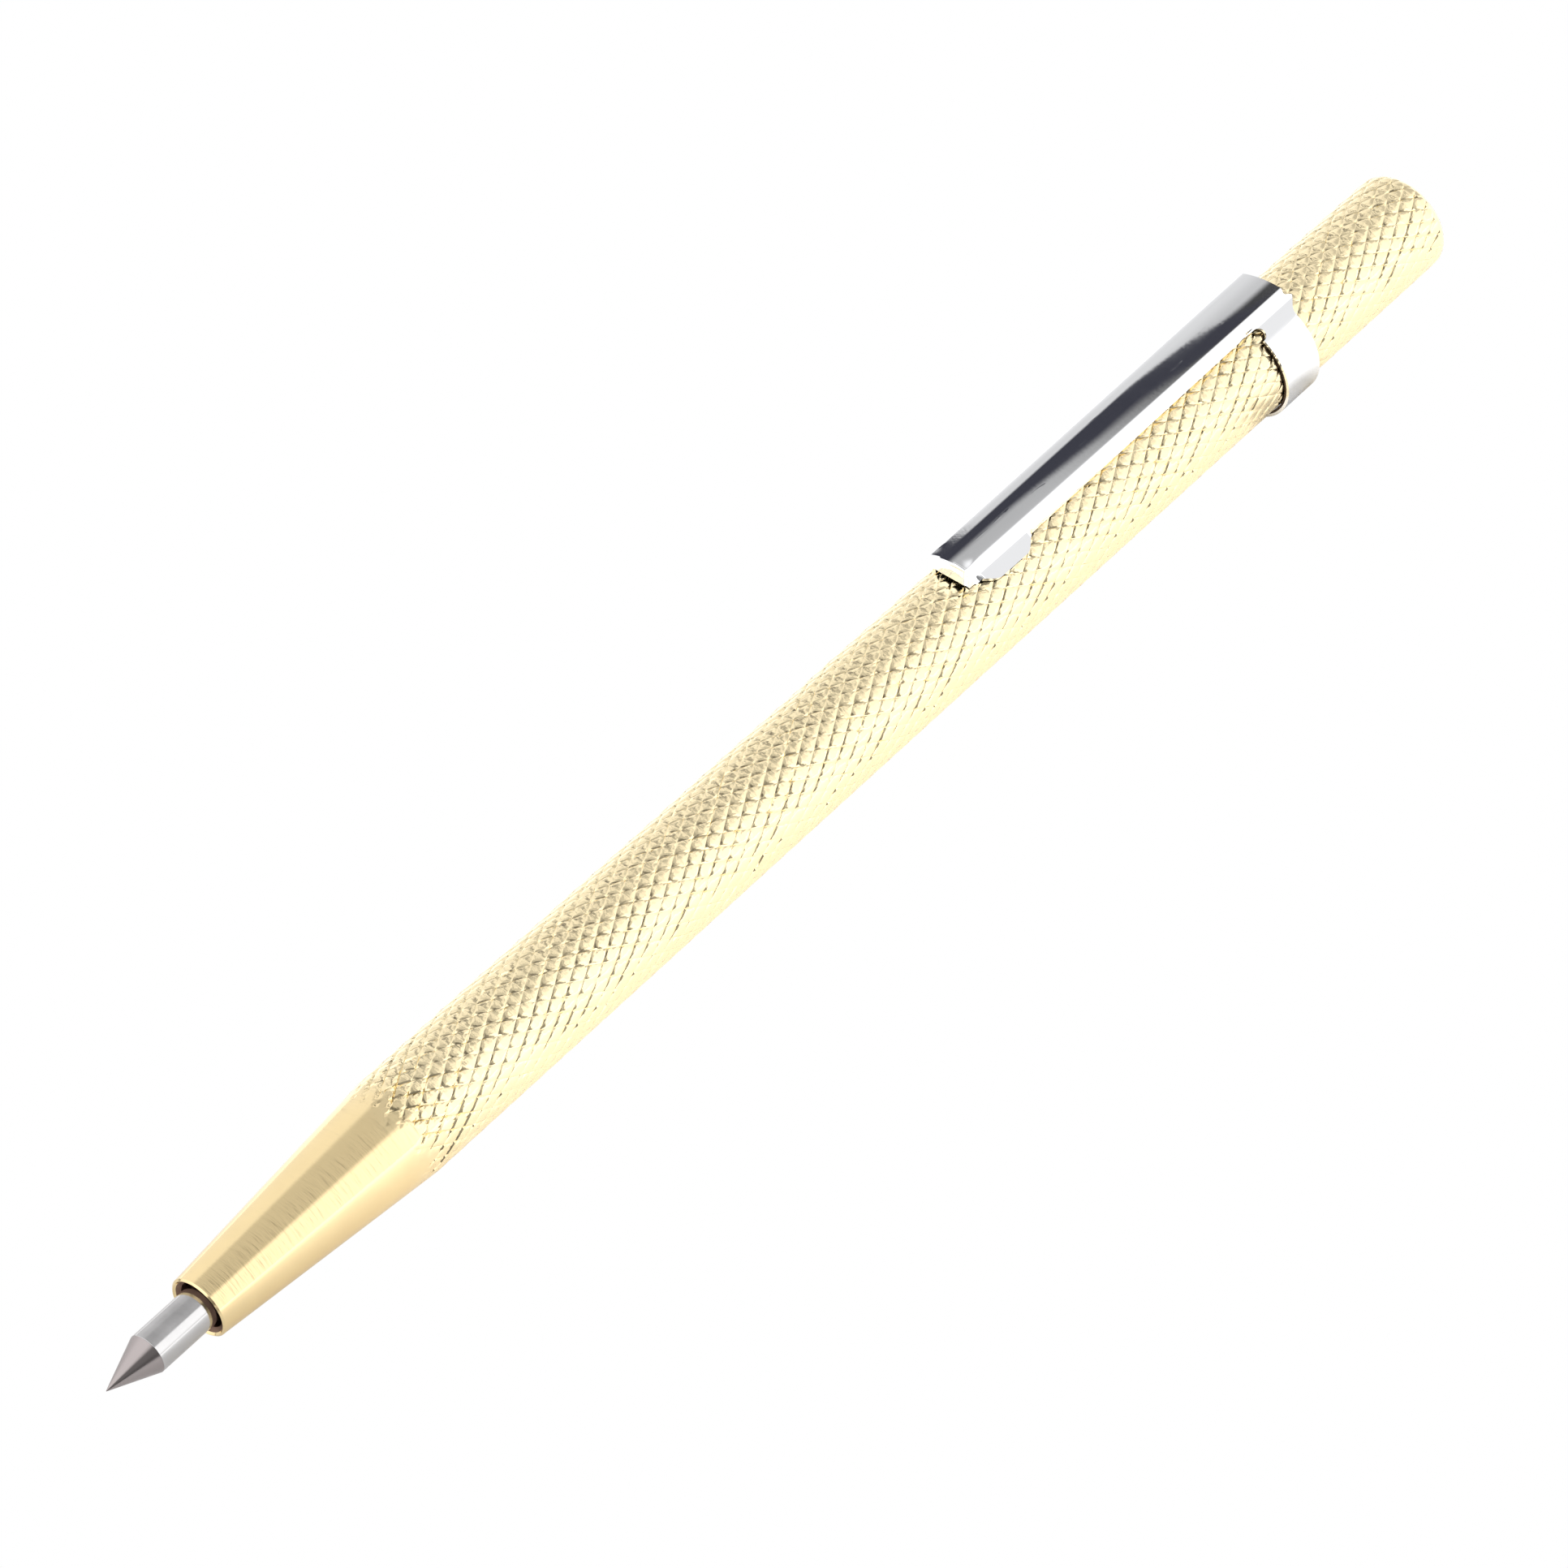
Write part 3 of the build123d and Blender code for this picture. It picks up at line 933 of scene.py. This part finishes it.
class SheetMesh:
    """Collects matching outer and inner points, then closes the rims between them."""

    def __init__(self):
        self.keys = {}
        self.outer = []
        self.inner = []
        self.faces = []

    def point(self, outer, inner):
        key = tuple(round(c, 5) for c in outer)
        if key not in self.keys:
            self.keys[key] = len(self.outer)
            self.outer.append(outer)
            self.inner.append(inner)
        return self.keys[key]

    def patch(self, outer_rows, inner_rows):
        index = [[self.point(o, n) for o, n in zip(a, b)] for a, b in zip(outer_rows, inner_rows)]
        for upper, lower in zip(index, index[1:]):
            for k in range(len(upper) - 1):
                ring = [upper[k], upper[k + 1], lower[k + 1], lower[k]]
                face = [v for n, v in enumerate(ring) if v != ring[n - 1]]
                if len(set(face)) >= 3:
                    self.faces.append(face)

    def build(self):
        """Points, faces and each face's material.

        A rim is two strips, parted at RIM_BRIGHT of the sheet's thickness. Round the front edge of the
        band the inner strip is material 1, a near-black painted shadow for the gap between the band and the
        barrel.
        """
        count = len(self.outer)
        parted = {}
        edges = {}
        for face in self.faces:
            for a, b in zip(face, face[1:] + face[:1]):
                edges.setdefault((min(a, b), max(a, b)), []).append((a, b))
        faces = [list(face) for face in self.faces]
        faces += [[v + count for v in reversed(face)] for face in self.faces]
        skin = [0] * len(faces)
        points = self.outer + self.inner
        for uses in edges.values():
            if len(uses) == 1:
                a, b = uses[0]
                for v in (a, b):
                    if v not in parted:
                        parted[v] = len(points)
                        outer, inner = self.outer[v], self.inner[v]
                        points.append(tuple(o + (n - o) * RIM_BRIGHT for o, n in zip(outer, inner)))
                faces.append([b, a, parted[a], parted[b]])
                faces.append([parted[b], parted[a], a + count, b + count])
                low, high = sorted((self.outer[a][0], self.outer[b][0]))
                on_band_front = low > BAND_FRONT - TOUCHING and high < BAND_FRONT + NOTCH_DEPTH + TOUCHING
                skin += [0, 1 if on_band_front else 0]
        return points, faces, skin


def arm_rows(stations, inset):
    """The arm's sections from its nose to the band, each from one flange over the crown to the other."""
    rows = []
    for x in stations:
        half = half_section(x, inset)
        left = [(x, -y, z) for y, z in reversed(half)]
        rows.append(left + [(x, y, z) for y, z in half[1:]])
    return rows


def hood_rows(nose_x, inset):
    """The hood's two corners and its front: each flank swung round to become the end wall."""
    section = ClipSection(nose_x, inset)
    half = half_section(nose_x, inset)[CROWN_STEPS:]
    pivot_y, pivot_z = section.crown_point(1)
    top = half[BEND_STEPS][1]
    reach = half[BEND_STEPS][0] - pivot_y

    def profile(turn, side_y):
        """Points (reach from the pivot, height) of the flank when it has made this share of its turn."""
        lean = max(0.0, END_WALL_LEAN - END_WALL_SKEW * side_y) * turn
        bottom = half[-1][1] + (END_WALL_BOTTOM - half[-1][1]) * smooth(turn)
        points = [(y - pivot_y, z) for y, z in half[: BEND_STEPS + 1]]
        for _, z in half[BEND_STEPS + 1 :]:
            share = (top - z) / (top - half[-1][1])
            points.append((reach + lean * share, top + (bottom - top) * share))
        return points

    corners = []
    for side in (-1, 1):
        corner = []
        for n in range(CORNER_STEPS + 1):
            swing = pi / 2 * n / CORNER_STEPS
            corner.append(
                [
                    (nose_x - out * sin(swing), side * (pivot_y + out * cos(swing)), z)
                    for out, z in profile(n / CORNER_STEPS, side * pivot_y)
                ]
            )
        corners.append(corner)
    front = []
    for n in range(-CROWN_STEPS, CROWN_STEPS + 1):
        y, z = section.crown_point(abs(n) / CROWN_STEPS)
        side_y = y if n >= 0 else -y
        end_profile = profile(1.0, side_y)
        last = len(end_profile) - 1
        column = []
        for k, (out, height) in enumerate(end_profile):
            lift = (z - pivot_z) * (1 - k / last) ** END_WALL_LIFT_FADE
            column.append((nose_x - out, side_y, height + lift))
        front.append(column)
    return corners + [front]


def band_rows(side, inset):
    """One half of the band from the crown to the seam, with a round notch where the arm's flange ends."""
    _, edge = foot_state(BAND_FRONT)
    notch_end = edge + 2 * NOTCH_R
    seam = BEND_LENGTH + ClipSection(BAND_FRONT, 0).flat + BAND_OUTER_R * (pi - PATCH_TILT) - SEAM_HALF_GAP
    distances = [edge + NOTCH_R * (1 - cos(pi * n / NOTCH_STEPS)) for n in range(1, NOTCH_STEPS)]
    distances += [notch_end + (seam - notch_end) * n / RING_STEPS for n in range(RING_STEPS + 1)]

    def path(depth):
        section = ClipSection(BAND_FRONT, depth)
        return half_section(BAND_FRONT, depth) + [section.foot_point(d, 1.0) for d in distances]

    upper_count = len(half_section(BAND_FRONT, 0))
    fronts = [BAND_FRONT] * upper_count
    for distance in distances:
        across = (distance - edge - NOTCH_R) / NOTCH_R
        fronts.append(BAND_FRONT + NOTCH_DEPTH * sqrt(max(0.0, 1 - across * across)))
    rears = [CLIP_REAR + EAR_REACH * exp(-(((z - EAR_Z) / EAR_HALF_WIDTH) ** 2)) for _, z in path(0)]
    rows = []
    for n in range(BAND_ROWS + 1):
        share = n / BAND_ROWS
        rows.append(
            [
                (front + (rear - front) * share, side * y, z)
                for front, rear, (y, z) in zip(fronts, rears, path(inset))
            ]
        )
    return rows


def make_clip(materials):
    """The whole clip as one bent sheet: hooded arm with spreading lobes, and the band round the barrel."""
    nose_x = CLIP_FRONT + NOSE_BEND_R
    lobe_end = LOBE_X + LOBE_HALF_LENGTH
    # The sections lie closest where the sheet changes most, along the lobes and next to the band.
    stretches = (
        (nose_x, lobe_end + 0.1, 50),
        (lobe_end + 0.4, BAND_FRONT - 1.1, 66),
        (BAND_FRONT - BAND_BLEND, BAND_FRONT, 9),
    )
    stations = [x for stretch in stretches for x in np.linspace(*stretch).tolist()]
    sheet = SheetMesh()
    sheet.patch(arm_rows(stations, 0), arm_rows(stations, SHEET))
    for outer, inner in zip(hood_rows(nose_x, 0), hood_rows(nose_x, SHEET)):
        sheet.patch(outer, inner)
    for side in (-1, 1):
        sheet.patch(band_rows(side, 0), band_rows(side, SHEET))
    points, faces, skin = sheet.build()
    clip = make_piece(
        "pocket_clip",
        points,
        faces,
        # The second material is painted shadow on the band's front rim.
        [materials["chrome"], materials["gap_shadow_paint"]],
        None,
        ["clip_band", "clip_arm"],
        50,
        skin,
    )
    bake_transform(clip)


def finish_cad_nodes(materials):
    """Materials for the turned pieces that keep their CAD shape."""
    for node, material in (("collet", "brass"), ("push_tube", "dull_steel"), ("rear_screw", "gold")):
        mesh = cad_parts[node].data
        mesh.materials.clear()
        mesh.materials.append(materials[material])


bpy.context.scene.view_settings.view_transform = "Standard"
make_camera()
make_world()
make_floor()
metals = make_materials()
make_barrel(metals)
make_point(metals)
make_clip(metals)
finish_cad_nodes(metals)
